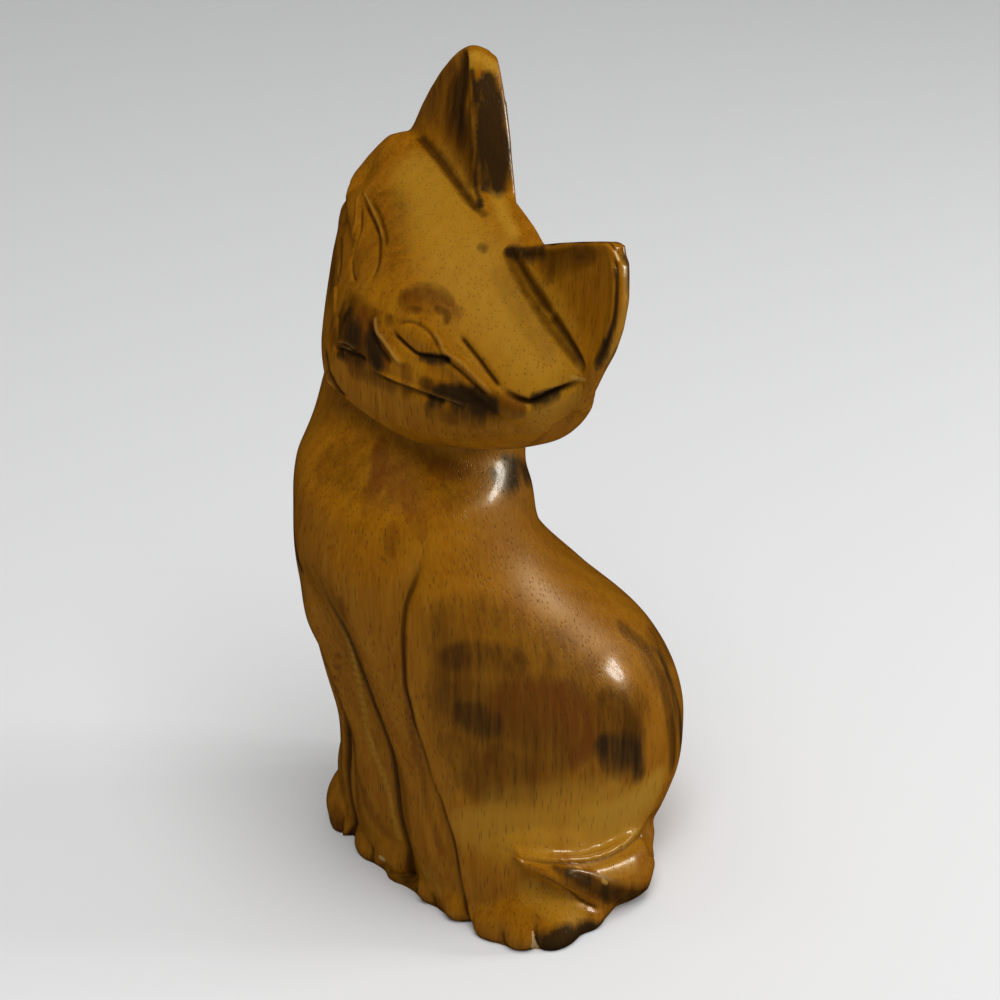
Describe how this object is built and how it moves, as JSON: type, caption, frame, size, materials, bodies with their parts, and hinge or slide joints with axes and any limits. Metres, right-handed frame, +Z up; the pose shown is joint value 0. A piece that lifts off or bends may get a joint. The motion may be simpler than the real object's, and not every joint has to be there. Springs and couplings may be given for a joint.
{
  "type": "carved wooden cat figurine",
  "caption": "Seated wooden cat with a tilted head, thick upright ears, gouged legs and toes, and a tail curled round its left foot.",
  "frame": {"origin": "on the floor, under the middle of the foot", "axes": "+Z up, the cat's chest faces -Y, its left side is +X"},
  "size_m": [0.0982, 0.103, 0.2131],
  "materials": {
    "body": "golden brown stain under gloss varnish, with scorched patches",
    "head": "golden brown stain under gloss varnish, with scorched ear tips",
    "neck_dowel": "bare turned wood, hidden"
  },
  "bodies": {
    "root": {"body": "body", "head": "head", "neck_dowel": "neck_dowel"}
  },
  "joints": []
}
